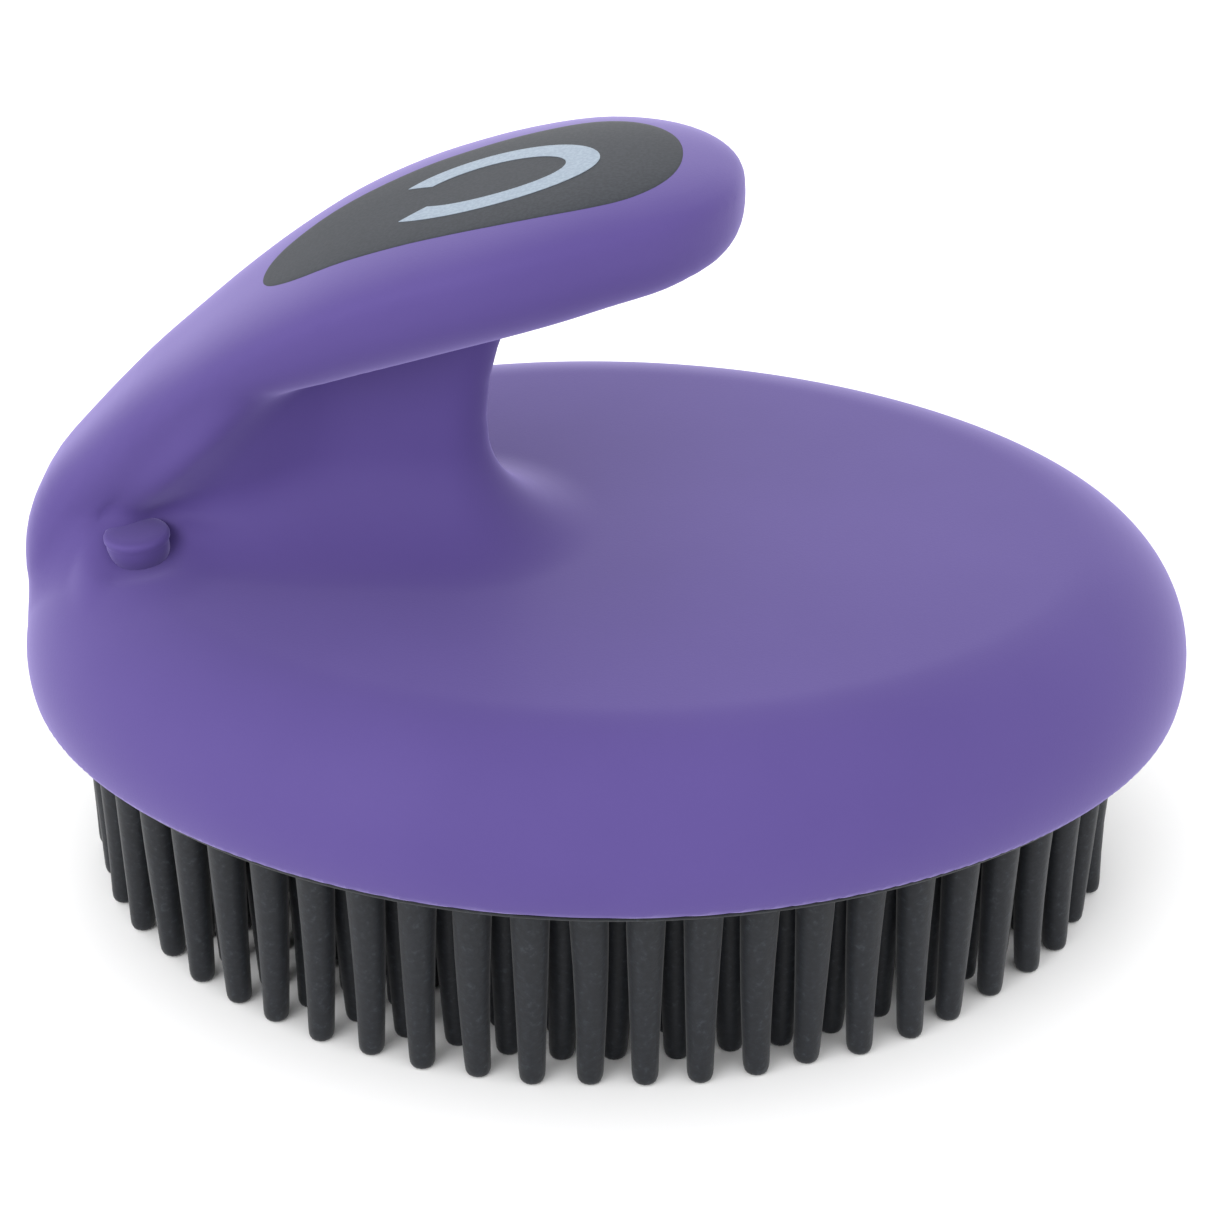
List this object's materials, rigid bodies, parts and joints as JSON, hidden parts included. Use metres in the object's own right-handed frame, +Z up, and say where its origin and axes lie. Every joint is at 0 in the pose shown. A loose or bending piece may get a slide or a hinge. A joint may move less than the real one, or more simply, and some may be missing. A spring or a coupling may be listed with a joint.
{
  "type": "curry comb",
  "caption": "Oval stable curry comb with a rubber tooth pad, a soft moulded body and a raised bent palm handle with a teardrop inlay.",
  "frame": {"origin": "centre of the comb's footprint on the plane of the tooth tips", "axes": "+X along the oval body from the handle's heel towards its free nose, +Z up from the tooth tips to the handle, +Y across the body"},
  "size_m": [0.1392, 0.1104, 0.092],
  "materials": {
    "black_rubber": "matte moulded black rubber",
    "core_plastic": "hidden structural plastic",
    "screw_steel": "zinc plated",
    "soft_skin": "matte soft-touch purple overmould",
    "inlay_grey": "satin dark grey",
    "mark_grey": "satin light grey"
  },
  "bodies": {
    "root": {"tooth_pad": "black_rubber", "backing_plate": "core_plastic", "core_shell": "core_plastic", "handle_spine": "core_plastic", "spine_screw_1": "screw_steel", "spine_screw_2": "screw_steel", "spine_screw_3": "screw_steel", "body_skin": "soft_skin", "grip_inlay": "inlay_grey", "inlay_mark": "mark_grey", "heel_pin_near": "soft_skin", "heel_pin_far": "soft_skin"}
  },
  "joints": []
}
